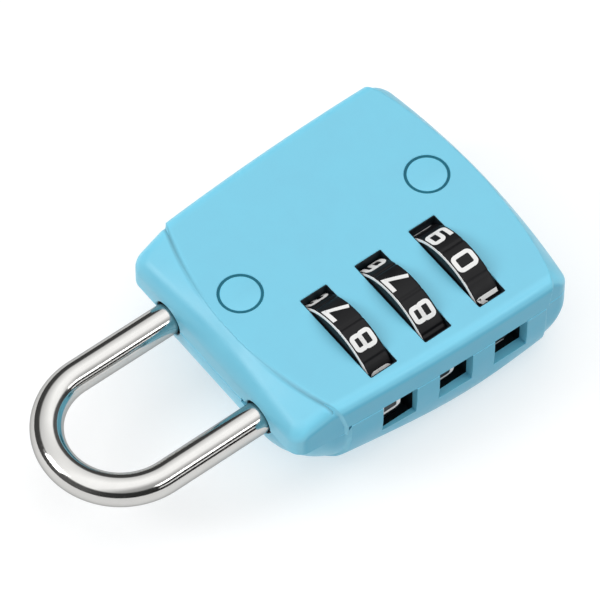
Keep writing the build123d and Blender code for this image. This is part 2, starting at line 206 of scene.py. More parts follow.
def rounded_loop(half_u, half_v, radius, steps=6):
    """Corners of a rounded rectangle about the origin."""
    loop = []
    for k, (su, sv) in enumerate(((1, 1), (-1, 1), (-1, -1), (1, -1))):
        for i in range(steps + 1):
            angle = pi / 2 * (k + i / steps)
            loop.append((su * (half_u - radius) + radius * cos(angle),
                         sv * (half_v - radius) + radius * sin(angle)))
    return np.array(loop)


def cut(obj, cutters):
    """Takes the cutters away from obj and removes them."""
    for cutter in cutters:
        modifier = obj.modifiers.new("cut", "BOOLEAN")
        modifier.operation, modifier.solver, modifier.object = "DIFFERENCE", "MANIFOLD", cutter
        bpy.context.view_layer.update()
        graph = bpy.context.evaluated_depsgraph_get()
        result = bpy.data.meshes.new_from_object(obj.evaluated_get(graph))
        obj.modifiers.clear()
        old = obj.data
        obj.data = result
        bpy.data.meshes.remove(old)
        bpy.data.objects.remove(cutter)


def smooth(obj, angle=32.0):
    """Smooth shading with sharp edges kept where the surface turns by more than the angle."""
    obj.data.shade_smooth()
    obj.data.set_sharp_from_angle(angle=radians(angle))


def smoothstep(value):
    """An even S-curve from 0 to 1."""
    value = np.clip(value, 0, 1)
    return value * value * (3 - 2 * value)


def soft_min(a, b, width):
    """The lower of two heights, with their crease rounded over a width."""
    h = np.clip(0.5 + 0.5 * (b - a) / width, 0, 1)
    return b * (1 - h) + a * h - width * h * (1 - h)


# ---------------------------------------------------------------- covers
SIDE_SAMPLES, END_SAMPLES, CORNER_SAMPLES = 260, 110, 22


def outline(inset, corner, draw=0.0, near_corner=None):
    """The body's outline in plan, moved in by inset, and its outward directions.

    draw is the share of the back's rounding by which the sides and ends are drawn in as well.
    """
    near_corner = near_corner or corner
    near_inset, far_inset = (inset + draw * end for end in BACK_ROUND_ENDS)
    near_y, far_y = END_Y - near_inset, FAR_Y + far_inset
    widths = np.array(HALF_WIDTHS) - inset - draw * np.array(BACK_ROUND_SIDES)
    curve = np.polyfit((near_y, WAIST_Y, far_y + FAR_ARCH), widths, 2)
    y = np.linspace(near_y - near_corner, far_y + FAR_ARCH + corner, SIDE_SAMPLES)
    radius = np.linspace(near_corner, corner, SIDE_SAMPLES)
    x = np.polyval(curve, y) - radius
    lean = np.polyval(np.polyder(curve), y)
    side = np.stack([x, y], 1), np.stack([np.ones_like(y), -lean], 1), radius
    far_x = np.linspace(x[-1], -x[-1], END_SAMPLES)
    arch_y = far_y + corner + FAR_ARCH * (far_x / x[-1]) ** 2
    far_lean = 2 * FAR_ARCH * far_x / x[-1] ** 2
    far = (np.stack([far_x, arch_y], 1), np.stack([far_lean, -np.ones_like(far_x)], 1),
           np.full(END_SAMPLES, corner))
    near_x = np.linspace(-x[0], x[0], END_SAMPLES)
    near = (np.stack([near_x, np.full_like(near_x, y[0])], 1), np.tile((0.0, 1.0), (END_SAMPLES, 1)),
            np.full(END_SAMPLES, near_corner))
    flip = np.array((-1.0, 1.0))
    other = side[0][::-1] * flip, side[1][::-1] * flip, radius[::-1]
    spans = [side, far, other, near]
    points, directions, radii = [], [], []
    for here, after in zip(spans, spans[1:] + spans[:1]):
        normal = here[1] / np.linalg.norm(here[1], axis=1)[:, None]
        start = atan2(normal[-1][1], normal[-1][0])
        end = atan2(after[1][0][1], after[1][0][0])
        turn = (end - start + pi) % (2 * pi) - pi
        angles = start + turn * np.linspace(0, 1, CORNER_SAMPLES + 2)[1:-1]
        points += [here[0], np.tile(here[0][-1], (CORNER_SAMPLES, 1))]
        directions += [normal, np.stack([np.cos(angles), np.sin(angles)], 1)]
        radii += [here[2], np.full(CORNER_SAMPLES, here[2][-1])]
    points, directions, radii = (np.concatenate(part) for part in (points, directions, radii))
    return points + radii[:, None] * directions, directions


def strip_cap():
    """Faces across an outline's ring, from each point to its mirror image on the other side."""
    half = SIDE_SAMPLES + CORNER_SAMPLES
    size = 2 * half + 2 * (END_SAMPLES + CORNER_SAMPLES)
    first = half + SIDE_SAMPLES + CORNER_SAMPLES + END_SAMPLES - 1
    middle = SIDE_SAMPLES + CORNER_SAMPLES + END_SAMPLES // 2 - 1
    start = size - CORNER_SAMPLES - END_SAMPLES // 2
    faces = []
    for step in range((middle - start) % size):
        i = (start + step) % size
        j = (i + 1) % size
        faces.append((i, j, (first - j) % size, (first - i) % size))
    return faces


def seam_height(points, gap):
    """Height of the covers' meeting line at each point of an outline; gap widens its step."""
    return np.where(points[:, 1] > STEP_Y + gap, AXIS_Z, PARTING_Z)


def crease_y(x, crease, end, towards):
    """Where a crease lies at a point's x; towards is +1 at the near end."""
    middle, reach = crease[0] if towards > 0 else crease[1]
    return end - towards * (middle + (reach - middle) * (x / CREASE_REACH) ** 2)


def front_height(x, y):
    """Height of the front at a place in plan: flat, with a sloping shoulder at each end."""
    height = np.full_like(x, FRONT_Z)
    for end, towards in ((END_Y, 1), (FAR_Y, -1)):
        line = crease_y(x, CREASE_FRONT, end, towards)
        arch = 0.0 if towards > 0 else FAR_ARCH * (x / HALF_WIDTHS[2]) ** 2
        edge = end - towards * arch
        slope = SHOULDER_DROP / np.maximum(np.abs(edge - line), 0.5)
        shoulder = FRONT_Z - slope * (y - line) * towards
        height = soft_min(height, shoulder, CREASE_SOFTNESS)
    line = crease_y(x, CREASE_FRONT, END_Y, 1) + GROOVE_SHIFT
    outer = smoothstep((np.abs(x) - 3) / 7)
    return height - GROOVE_ALONG_CREASE * outer * np.exp(-((y - line) / GROOVE_WIDTH) ** 2)


def band_swell(points, directions, crease, share=1.0):
    """Moves points outward where the waist band is."""
    x, y = points[:, 0], points[:, 1]
    near, far = crease_y(x, crease, END_Y, 1), crease_y(x, crease, FAR_Y, -1)
    inside = smoothstep((near - y) / BAND_EDGE + 0.5) * smoothstep((y - far) / BAND_EDGE + 0.5)
    return points + directions * (BAND_PROUD * share * inside)[:, None]


def crease_at(z):
    """The front cover's crease at a height: it leans back towards the parting line."""
    lift = np.clip((z - PARTING_Z) / (FRONT_Z - PARTING_Z), 0, 1)
    ends = []
    for parting, front in zip(CREASE_PARTING, CREASE_FRONT):
        ends.append([low + (high - low) * lift for low, high in zip(parting, front)])
    return ends


def front_rings():
    """Rings of the front cover from the seam up its side, over its edge and across its face."""
    rings = []
    seam = seam_height(outline(0.0, CORNER)[0], SEAM_GAP)
    points, directions = outline(SEAM, CORNER)
    rings.append(np.column_stack([band_swell(points, directions, crease_at(seam)), seam]))
    points, directions = outline(0.0, CORNER)
    top = front_height(points[:, 0], points[:, 1]) - FRONT_ROUND
    for part in np.linspace(0, 1, 16):
        z = seam + SEAM + (top - seam - SEAM) * part
        rings.append(np.column_stack([band_swell(points, directions, crease_at(z)), z]))
    for angle in np.linspace(0, pi / 2, 14)[1:]:
        inset = FRONT_ROUND * (1 - cos(angle))
        points, directions = outline(inset, CORNER - inset * FRONT_TIGHTENING)
        z = front_height(points[:, 0], points[:, 1]) - FRONT_ROUND * (1 - sin(angle))
        rings.append(np.column_stack([band_swell(points, directions, crease_at(z)), z]))
    fine_step, fine_end, last_inset = 0.1, 8.0, 10.8
    fine_insets = np.arange(FRONT_ROUND + fine_step, fine_end, fine_step)
    for inset in [*fine_insets, *np.linspace(fine_end, last_inset, 5)]:
        corner = max(CORNER - FRONT_ROUND * FRONT_TIGHTENING - (inset - FRONT_ROUND) * 0.1, 0.5)
        points, directions = outline(inset, corner)
        z = front_height(points[:, 0], points[:, 1])
        share = max(0.0, 1 - (inset - FRONT_ROUND) / BAND_FADE)
        rings.append(np.column_stack([band_swell(points, directions, CREASE_FRONT, share), z]))
    return rings


def back_rings():
    """Rings of the back cover from the seam down its side and round into the flat back."""
    rings = []
    low_corner, high_corner = BACK_CORNERS_NEAR
    upper = outline(0.0, CORNER, near_corner=high_corner)
    seam = seam_height(upper[0], -SEAM_GAP)
    points, directions = outline(SEAM, CORNER, near_corner=high_corner)
    rings.append(np.column_stack([band_swell(points, directions, CREASE_BACK), seam]))
    for part in np.linspace(0, 1, 14):
        z = seam - SEAM + (BACK_ROUND_HEIGHT - seam + SEAM) * part
        rings.append(np.column_stack([band_swell(*upper, CREASE_BACK), z]))
    for angle in np.linspace(0, pi / 2, 34)[1:]:
        far_corner = CORNER + (BACK_CORNER_FAR - CORNER) * sin(angle)
        near_corner = high_corner + (low_corner - high_corner) * sin(angle)
        points, directions = outline(0.0, far_corner, 1 - cos(angle), near_corner)
        z = np.full(len(points), BACK_ROUND_HEIGHT * (1 - sin(angle)))
        rings.append(np.column_stack([band_swell(points, directions, CREASE_BACK), z]))
    return rings


def window_cutters(y):
    """A dial window's opening, with broken edges, and the wider room under its thin lip."""
    flare, lip, wider = 0.08, 0.35, 0.4
    stations = ((0, AXIS_Z + 3.4), (0, FRONT_Z - flare), (flare * 1.5, FRONT_Z + flare * 0.5))
    rings = []
    for grow, z in stations:
        loop = rounded_loop(WINDOW_LENGTH / 2 + grow, WINDOW_WIDTH / 2 + grow, 0.15 + grow)
        rings.append(np.column_stack([loop[:, 0] - LEG_X, loop[:, 1] + y, np.full(len(loop), z)]))
    half_x, half_y = WINDOW_LENGTH / 2 + wider, WINDOW_WIDTH / 2 + wider
    room = slab("window_room_cutter", (-LEG_X - half_x, y - half_y, AXIS_Z + 2.2),
                (-LEG_X + half_x, y + half_y, FRONT_Z - lip))
    return [loft("window_cutter", rings), room]


def side_window_cutters(y):
    """A side window's opening through the wall, and the wider room behind the wall."""
    half, middle = SIDE_WINDOW_WIDTH / 2, y - SIDE_WINDOW_SHIFT
    wall_x = -LEG_X - DIAL_RADIUS - 0.1
    bottom = PARTING_Z - SIDE_WINDOW_HEIGHT
    opening = slab("side_window_cutter", (-CREASE_REACH, middle - half, bottom),
                   (wall_x + 0.1, middle + half, PARTING_Z + 1))
    room = slab("side_room_cutter", (wall_x, middle - half - 0.2, bottom - SIDE_FLOOR_DROP),
                (-LEG_X - 4.3, middle + half + 0.2, PARTING_Z + 1))
    return [opening, room]


def room_cutters():
    """The hollow inside the covers: the dials' pockets, the clutches' bore and the legs' holes."""
    centre = (-LEG_X, 0, AXIS_Z)
    cutters = [cylinder("room_cutter", ROOM_RADIUS, DIAL_YS[0] + ROOM_PAST_DIAL, FAR_Y + FAR_WALL, centre)]
    half = WINDOW_WIDTH / 2 + 0.02
    for y in DIAL_YS:
        cutters.append(cylinder("pocket_cutter", DIAL_RADIUS + DIAL_ROOM, y - half, y + half, centre,
                                segments=180))
    for x, start in ((-LEG_X, DIAL_YS[0]), (LEG_X, END_Y - SOCKET_DEPTH)):
        cutters.append(cylinder("leg_cutter", WIRE_RADIUS + LEG_ROOM, start, END_Y, (x, 0, AXIS_Z),
                                flare=HOLE_FLARE))
    notch_low = (-LEG_X, END_Y - NOTCH_DEPTH, AXIS_Z - NOTCH_HALF_WIDTH)
    notch_high = (-LEG_X + LUG_TIP, END_Y + 1, AXIS_Z + NOTCH_HALF_WIDTH)
    cutters.append(slab("notch_cutter", notch_low, notch_high))
    return cutters


def make_front_cover():
    """The front cover, open at the dial windows, the plugs and the hollow inside."""
    cover = loft("front_cover_shell", front_rings(), first_cap=strip_cap())
    cutters = [cutter for y in DIAL_YS for cutter in window_cutters(y)] + room_cutters()
    for y in PLUG_YS:
        cutters.append(cylinder("plug_cutter", PLUG_RADIUS + PLUG_HOLE_ROOM, FRONT_Z - 1.0, FRONT_Z,
                                (PLUG_X, y, 0), axis="Z", flare=0.05))
    cut(cover, cutters)
    smooth(cover)
    return cover


def make_back_cover():
    """The back cover, open at the side windows and the hollow inside."""
    cover = loft("back_cover_shell", back_rings(), first_cap=strip_cap())
    side_windows = [cutter for y in DIAL_YS for cutter in side_window_cutters(y)]
    cut(cover, side_windows + room_cutters())
    smooth(cover)
    return cover


def make_plugs():
    """Round plugs, flush with the front, with a softly broken edge."""
    radius, edge, centre_radius = PLUG_RADIUS - 0.08, 0.1, 0.02
    bottom, top = FRONT_Z - PLUG_THICKNESS, FRONT_Z - PLUG_SUNK
    profile = [(centre_radius, bottom), (radius, bottom), (radius, top - edge)]
    for angle in np.linspace(0, pi / 2, 5)[1:]:
        profile.append((radius - edge * (1 - cos(angle)), top - edge * (1 - sin(angle))))
    profile.append((centre_radius, top))
    for i, y in enumerate(PLUG_YS, start=1):
        plug = lathe(f"plug_{i}", profile, (PLUG_X, y, 0), axis="Z")
        smooth(plug)
        yield plug


def window_painted_shade(i, y):
    """Painted shade: a dark sleeve inside a dial window's walls."""
    outer = rounded_loop(WINDOW_LENGTH / 2 + 0.02, WINDOW_WIDTH / 2 + 0.02, 0.17)
    inner = rounded_loop(WINDOW_LENGTH / 2 - 0.12, WINDOW_WIDTH / 2 - 0.05, 0.1)
    top, bottom = FRONT_Z - 0.1, AXIS_Z + 2.0
    rings = []
    for loop, z in ((outer, bottom), (outer, top), (inner, top), (inner, bottom)):
        rings.append(np.column_stack([loop[:, 0] - LEG_X, loop[:, 1] + y, np.full(len(loop), z)]))
    return loft(f"window_painted_shade_{i}", rings, closed=True)


def side_window_painted_shade(i, y):
    """Painted shade: a dark tray behind a side window, with its dial's room cut out of it."""
    wall = 0.12
    half, middle, bottom = SIDE_WINDOW_WIDTH / 2, y - SIDE_WINDOW_SHIFT, PARTING_Z - SIDE_WINDOW_HEIGHT
    outer_half, floor = half + 0.18, bottom - SIDE_FLOOR_DROP + 0.1
    wall_x, inner_x = -LEG_X - DIAL_RADIUS - 0.08, -LEG_X - 4.45
    tray = slab(f"side_window_painted_shade_{i}", (wall_x, middle - outer_half, floor),
                (inner_x, middle + outer_half, PARTING_Z - 0.05))
    hollow = slab("hollow_cutter", (wall_x - 1, middle - outer_half + wall, floor + wall),
                  (inner_x - wall, middle + outer_half - wall, PARTING_Z + 1))
    dial_room = cylinder("dial_cutter", DIAL_RADIUS + 0.12, y - WINDOW_WIDTH / 2, y + WINDOW_WIDTH / 2,
                         (-LEG_X, 0, AXIS_Z), segments=180)
    cut(tray, [hollow, dial_room])
    return tray


def leg_hole_painted_shade(side, x):
    """Painted shade: a dark sleeve inside a leg's hole."""
    hole, wall = WIRE_RADIUS + LEG_ROOM + 0.01, 0.12
    deep, shallow = END_Y - 3, END_Y - 0.22
    profile = [(hole, deep), (hole, shallow), (hole - wall, shallow - 0.08), (hole - wall, deep)]
    return lathe(f"{side}_leg_hole_painted_shade", profile, (x, 0, AXIS_Z))


def make_painted_shade_pieces():
    """The dark pieces of painted shade seen in the windows and around the legs."""
    painted_shade_pieces = []
    for i, y in enumerate(DIAL_YS, start=1):
        painted_shade_pieces += [window_painted_shade(i, y), side_window_painted_shade(i, y)]
    painted_shade_pieces += [leg_hole_painted_shade("long", -LEG_X), leg_hole_painted_shade("short", LEG_X)]
    for painted_shade_piece in painted_shade_pieces:
        smooth(painted_shade_piece)
    return painted_shade_pieces


def make_plug_gap_shades():
    """Rings of painted shade at the bottom of the gaps around the plugs."""
    inner, outer, low, high = PLUG_RADIUS - 0.1, PLUG_RADIUS + 0.24, FRONT_Z - 0.8, FRONT_Z - 0.08
    profile = [(inner, low), (outer, low), (outer, high), (inner, high)]
    for i, y in enumerate(PLUG_YS, start=1):
        yield lathe(f"plug_gap_shade_{i}", profile, (PLUG_X, y, 0), axis="Z")


# ---------------------------------------------------------------- shackle
def make_shackle():
    """The bent wire, with broken edges at its two tips."""
    bow_y = SHACKLE_HIGH[1] - WIRE_RADIUS - LEG_X
    tip_y, short_tip_y = SHACKLE_LOW[1], END_Y - SHORT_LEG_DEPTH
    break_edge = 0.35
    path = [(-LEG_X, y, (0, 1)) for y in np.linspace(tip_y, bow_y, 60)]
    for angle in np.linspace(pi, 0, 97)[1:-1]:
        path.append((LEG_X * cos(angle), bow_y + LEG_X * sin(angle), (sin(angle), -cos(angle))))
    path += [(LEG_X, y, (0, -1)) for y in np.linspace(bow_y, short_tip_y, 40)]
    segments = 72
    around = np.linspace(0, 2 * pi, segments, endpoint=False)

    def ring(x, y, direction, radius, shift=0.0):
        """A round of the wire, square to its direction."""
        across = np.array((direction[1], -direction[0]))
        centre = np.array((x, y)) + shift * np.array(direction)
        flat = centre + np.outer(np.cos(around) * radius, across)
        return np.column_stack([flat, AXIS_Z + np.sin(around) * radius])

    rings = [ring(*path[0], WIRE_RADIUS - break_edge), ring(*path[0], WIRE_RADIUS, break_edge)]
    rings += [ring(*station, WIRE_RADIUS) for station in path[1:-1]]
    rings += [ring(*path[-1], WIRE_RADIUS, -break_edge), ring(*path[-1], WIRE_RADIUS - break_edge)]
    wire = loft("shackle_wire", rings)
    smooth(wire, 40)
    return wire


def make_lugs():
    """The long leg's three lugs, which the clutches let through only at the right code."""
    foot_x, tip_x, half_width = -LEG_X + 1.3, -LEG_X + LUG_TIP - 0.01, 0.55
    far_side, near_side = 3.2, 2.4      # distances behind the dial's middle
    lugs = []
    for i, y in enumerate(DIAL_YS, start=1):
        lug = slab(f"shackle_lug_{i}", (foot_x, y - far_side, AXIS_Z - half_width),
                   (tip_x, y - near_side, AXIS_Z + half_width))
        bevel = lug.modifiers.new("edges", "BEVEL")
        bevel.width, bevel.segments = 0.12 * MM, 3
        lugs.append(lug)
    return lugs


# ---------------------------------------------------------------- dials
# Each stroke is a path in a box of width and height 1, with its corners' radius and whether it closes.
SQUARE = [(0, 0), (1, 0), (1, 1), (0, 1)]
DIGIT_STROKES = {
    0: [(SQUARE, 0.42, True)],
    1: [([(0.18, 0.72), (0.55, 1), (0.55, 0)], 0.0, False)],
    2: [([(0, 0.86), (0, 1), (1, 1), (1, 0.54), (0, 0.3), (0, 0), (1, 0)], 0.3, False)],
    3: [([(0, 1), (1, 1), (1, 0.53), (0.3, 0.53)], 0.3, False),
        ([(0.3, 0.53), (1, 0.53), (1, 0), (0, 0)], 0.3, False)],
    4: [([(0.72, 0), (0.72, 1), (0, 0.28), (1, 0.28)], 0.0, False)],
    5: [([(0.95, 1), (0.05, 1), (0.05, 0.58), (1, 0.58), (1, 0), (0, 0)], 0.3, False)],
    6: [([(0.9, 1), (0, 1), (0, 0.5)], 0.4, False),
        ([(0, 0), (1, 0), (1, 0.58), (0, 0.58)], 0.34, True)],
    7: [([(0, 1), (1, 1), (0.38, 0)], 0.0, False)],
    8: [([(0.04, 0.54), (0.96, 0.54), (0.96, 1), (0.04, 1)], 0.3, True),
        ([(0, 0), (1, 0), (1, 0.54), (0, 0.54)], 0.32, True)],
    9: [([(0.1, 0), (1, 0), (1, 0.5)], 0.4, False),
        ([(0, 0.42), (1, 0.42), (1, 1), (0, 1)], 0.34, True)],
}


def rounded_path(corners, radius, closed):
    """A path through corners, with each corner rounded by a curve of nine points."""
    corners = [np.array(c, float) for c in corners]
    count = len(corners)
    path = []
    for i, here in enumerate(corners):
        ends = not closed and i in (0, count - 1)
        if ends or radius == 0:
            path.append(here)
            continue
        before, after = corners[i - 1], corners[(i + 1) % count]
        into, out = here - before, after - here
        len_in, len_out = np.linalg.norm(into), np.linalg.norm(out)
        into, out = into / len_in, out / len_out
        half_turn = acos(np.clip(into @ out, -1, 1)) / 2
        setback = min(radius * tan(half_turn), 0.49 * min(len_in, len_out))
        start, end = here - into * setback, here + out * setback
        pull = here * 0.86 + (start + end) * 0.07
        for t in np.linspace(0, 1, 9):
            path.append((1 - t) ** 2 * start + 2 * t * (1 - t) * pull + t ** 2 * end)
    return np.array(path)


def offset_path(path, distance, closed):
    """The path moved sideways, with mitred corners."""
    count = len(path)
    moved = []
    for i in range(count):
        before = path[i - 1] if closed or i > 0 else None
        after = path[(i + 1) % count] if closed or i < count - 1 else None
        sides = []
        for a, b in ((before, path[i]), (path[i], after)):
            if a is not None and b is not None and np.linalg.norm(b - a) > 1e-9:
                step = (b - a) / np.linalg.norm(b - a)
                sides.append(np.array((-step[1], step[0])))
        normal = sum(sides) / len(sides)
        moved.append(path[i] + normal * distance / max(normal @ normal, 0.35))
    return np.array(moved)


def subdivide(path, closed, step=0.12):
    """Adds points so that no run is longer than step, because the path is then wrapped on a cylinder."""
    points = []
    count = len(path)
    for i in range(count if closed else count - 1):
        a, b = path[i], path[(i + 1) % count]
        pieces = max(1, ceil(np.linalg.norm(b - a) / step))
        points += [a + (b - a) * k / pieces for k in range(pieces)]
    if not closed:
        points.append(path[-1])
    return np.array(points)


def digit_ribbons(digit):
    """The left and right edges of each of a digit's strokes, in millimetres about its middle."""
    ribbons = []
    size = np.array((DIGIT_WIDTH - STROKE, DIGIT_HEIGHT - STROKE))
    for corners, radius, closed in DIGIT_STROKES[digit]:
        scaled = [(np.array(c) - 0.5) * size for c in corners]
        path = subdivide(rounded_path(scaled, radius, closed), closed)
        if not closed:
            for tip, inner in ((0, 1), (-1, -2)):
                step = path[tip] - path[inner]
                path[tip] = path[tip] + step / np.linalg.norm(step) * (STROKE / 2)
        left, right = (offset_path(path, side * STROKE / 2, closed) for side in (1, -1))
        ribbons.append((left, right, closed))
    return ribbons


def on_dial(flat, angle, radius, y):
    """Wraps flat points (right, up) onto a dial at an angle from straight up, towards -X."""
    turn = radians(angle) - flat[:, 0] / radius
    return np.column_stack([-LEG_X - radius * np.sin(turn), y + flat[:, 1], AXIS_Z + radius * np.cos(turn)])


def make_numerals(name, y, reading):
    """All ten printed numerals of a dial as one thin raised print."""
    first_angle, first_digit = reading
    points, faces = [], []
    for k in range(10):
        angle = first_angle + DIGIT_STEP * k
        for left, right, closed in digit_ribbons((first_digit + k) % 10):
            base, count = len(points), len(left)
            for radius in (DIAL_RADIUS - PRINT_LOW, DIAL_RADIUS - PRINT_HIGH):
                points += on_dial(left, angle, radius, y).tolist()
                points += on_dial(right, angle, radius, y).tolist()
            for i in range(count if closed else count - 1):
                j = (i + 1) % count
                low_left, low_right = base + i, base + count + i
                high_left, high_right = base + 2 * count + i, base + 3 * count + i
                step = j - i
                faces.append((high_left, high_left + step, high_right + step, high_right))
                faces.append((low_left, low_right, low_right + step, low_left + step))
                faces.append((low_left, low_left + step, high_left + step, high_left))
                faces.append((low_right, high_right, high_right + step, low_right + step))
            if not closed:
                for i in (0, count - 1):
                    faces.append((base + i, base + count + i, base + 3 * count + i, base + 2 * count + i))
    numerals = add_mesh(name, points, faces)
    smooth(numerals, 30)
    return numerals


def make_dial(name, y, reading):
    """A dial's ring: softly crowned edge, ten shallow grooves between its digits, plain bore."""
    half, bore, edge, rim = DIAL_WIDTH / 2, DIAL_BORE, DIAL_EDGE, DIAL_RADIUS - RIM_SUNK
    profile = [(bore, -half)]
    for angle in np.linspace(0, pi / 2, 6):
        profile.append((rim - edge * (1 - sin(angle)), -half + edge * (1 - cos(angle))))
    profile += [(rim, v) for v in np.linspace(-half + edge, half - edge, 8)[1:-1]]
    for angle in np.linspace(pi / 2, 0, 6):
        profile.append((rim - edge * (1 - sin(angle)), half - edge * (1 - cos(angle))))
    profile.append((bore, half))
    rings = []
    for turn in np.linspace(0, 360, 720, endpoint=False):
        from_groove = (turn - reading[0]) % DIGIT_STEP - DIGIT_STEP / 2
        arc = radians(from_groove) * DIAL_RADIUS
        depth = GROOVE_DEPTH * smoothstep(np.array(1 - abs(arc) / GROOVE_HALF_WIDTH))
        ring = []
        for radius, v in profile:
            r = radius - depth if radius > bore + 0.1 else radius
            ring.append((-LEG_X - r * sin(radians(turn)), y + v, AXIS_Z + r * cos(radians(turn))))
        rings.append(np.array(ring))
    dial = loft(name, rings, closed=True)
    smooth(dial, 30)
    return dial


def make_painted_rim_highlight(name, y):
    """A painted highlight: a pale ring along a dial's edge on the shackle's side."""
    half, outer = DIAL_WIDTH / 2, DIAL_RADIUS - 0.02
    profile = [(outer - 0.26, half - 0.1), (outer - 0.26, half + 0.02), (outer - 0.17, half + 0.02),
               (outer - 0.05, half - 0.05), (outer - 0.05, half - 0.14)]
    line = lathe(name, profile, (-LEG_X, y, AXIS_Z), segments=360)
    smooth(line, 50)
    return line


# ---------------------------------------------------------------- materials
MOTTLE_SCALE, MOTTLE_DEPTH = 260, 0.00006       # noise scale per metre, and bump depth in metres
GRAIN_SCALE, GRAIN_DEPTH = 5200, 0.00002
POLISH_SCALE, SCRATCH_SCALE, SCRATCH_DEPTH = 500, 3600, 0.00001


def nodes_of(name):
    """A new node material: itself, its nodes, its links and its shader."""
    material = bpy.data.materials.new(name)
    material.use_nodes = True
    tree = material.node_tree
    return material, tree.nodes, tree.links, tree.nodes["Principled BSDF"]


def noise(nodes, links, scale, detail=4.0):
    """A noise texture in the object's own coordinates."""
    coordinates = nodes.new("ShaderNodeTexCoord")
    texture = nodes.new("ShaderNodeTexNoise")
    texture.inputs["Scale"].default_value = scale
    texture.inputs["Detail"].default_value = detail
    texture.inputs["Roughness"].default_value = 0.55
    links.new(coordinates.outputs["Object"], texture.inputs["Vector"])
    return texture


def ramp(nodes, links, source, low, high, start=0.35, end=0.65):
    """A colour ramp between two colours."""
    node = nodes.new("ShaderNodeValToRGB")
    node.color_ramp.elements[0].position, node.color_ramp.elements[1].position = start, end
    node.color_ramp.elements[0].color, node.color_ramp.elements[1].color = (*low, 1), (*high, 1)
    links.new(source, node.inputs["Fac"])
    return node


def grey_ramp(nodes, links, source, low, high, start=0.35, end=0.65):
    """A ramp between two grey levels."""
    return ramp(nodes, links, source, (low,) * 3, (high,) * 3, start, end)


def level_ramp(nodes, stops):
    """A ramp through several (position, level) stops; a level is a grey or a colour."""
    node = nodes.new("ShaderNodeValToRGB")
    elements = node.color_ramp.elements
    while len(elements) < len(stops):
        elements.new(0.5)
    for element, (position, level) in zip(elements, stops):
        element.position = position
        element.color = (*level, 1) if isinstance(level, tuple) else (level, level, level, 1)
    return node


def bump(nodes, links, shader, layers):
    """Adds bump from (texture output, strength, distance in metres) layers."""
    normal = None
    for output, strength, distance in layers:
        node = nodes.new("ShaderNodeBump")
        node.inputs["Strength"].default_value = strength
        node.inputs["Distance"].default_value = distance
        links.new(output, node.inputs["Height"])
        if normal is not None:
            links.new(normal, node.inputs["Normal"])
        normal = node.outputs["Normal"]
    links.new(normal, shader.inputs["Normal"])


def maths(nodes, links, operation, first, second=0.0, clamp=False):
    """The output of a maths node on two values, each a number or another node's output."""
    node = nodes.new("ShaderNodeMath")
    node.operation, node.use_clamp = operation, clamp
    for socket, value in zip(node.inputs, (first, second)):
        if isinstance(value, (int, float)):
            socket.default_value = value
        else:
            links.new(value, socket)
    return node.outputs["Value"]


def multiplied(nodes, links, colour, factors):
    """A colour output multiplied by each of the factors in turn."""
    for factor in factors:
        mix = nodes.new("ShaderNodeVectorMath")
        mix.operation = "MULTIPLY"
        links.new(colour, mix.inputs[0])
        links.new(factor, mix.inputs[1])
        colour = mix.outputs["Vector"]
    return colour


def painted_crease_shade(nodes, links, upwards):
    """Painted shade along the groove that follows the near crease: darkens the front there, except in the
    middle.
    """
    def value(*arguments, **options):
        """A maths node in this tree."""
        return maths(nodes, links, *arguments, **options)

    coordinates = nodes.new("ShaderNodeTexCoord")
    place = nodes.new("ShaderNodeSeparateXYZ")
    links.new(coordinates.outputs["Object"], place.inputs["Vector"])
    x, y = place.outputs["X"], place.outputs["Y"]
    middle, reach = (distance * MM for distance in CREASE_FRONT[0])
    bend = (reach - middle) / (CREASE_REACH * MM) ** 2
    groove_y = (END_Y + PAINTED_SHADE_SHIFT) * MM - middle
    drop = value("MULTIPLY", value("MULTIPLY", x, x), bend)
    off_line = value("ABSOLUTE", value("SUBTRACT", value("ADD", y, drop), groove_y))
    nearness = value("SUBTRACT", 1.0, value("DIVIDE", off_line, PAINTED_SHADE_WIDTH * MM), clamp=True)
    from_middle = value("SUBTRACT", value("ABSOLUTE", x), 3 * MM)
    outwards = value("DIVIDE", from_middle, 9 * MM, clamp=True)
    on_front = value("GREATER_THAN", upwards, 0.6)
    strength = value("MULTIPLY", value("MULTIPLY", nearness, outwards), on_front)
    return value("SUBTRACT", 1.0, value("MULTIPLY", strength, 0.42))


def painted_light_and_shade(nodes, links, colour):
    """A colour with painted light and shade: a painted highlight where the front rounds over, painted shade
    on the sides and painted shade along the crease.
    """
    coordinates = nodes.new("ShaderNodeTexCoord")
    normal = nodes.new("ShaderNodeSeparateXYZ")
    links.new(coordinates.outputs["Normal"], normal.inputs["Vector"])
    upwards = normal.outputs["Z"]
    sideways = maths(nodes, links, "ABSOLUTE", normal.outputs["X"])
    # Painted shade: the sides are darker and bluer the more they face sideways.
    painted_side_shade = level_ramp(nodes, ((0.0, 1.0), (0.6, 1.0), (0.86, 0.92), (0.96, (0.42, 0.72, 0.78)),
                                (1.0, (0.4, 0.70, 0.76))))
    links.new(sideways, painted_side_shade.inputs["Fac"])
    # Painted highlight: paler where the front's edge turns from facing up to facing sideways.
    slope = maths(nodes, links, "MULTIPLY", sideways, upwards, clamp=True)
    painted_edge_highlight = maths(nodes, links, "ADD", 1.0, maths(nodes, links, "MULTIPLY", slope, 0.42))
    shade = painted_crease_shade(nodes, links, upwards)
    return multiplied(nodes, links, colour, (painted_side_shade.outputs["Color"], shade, painted_edge_highlight))


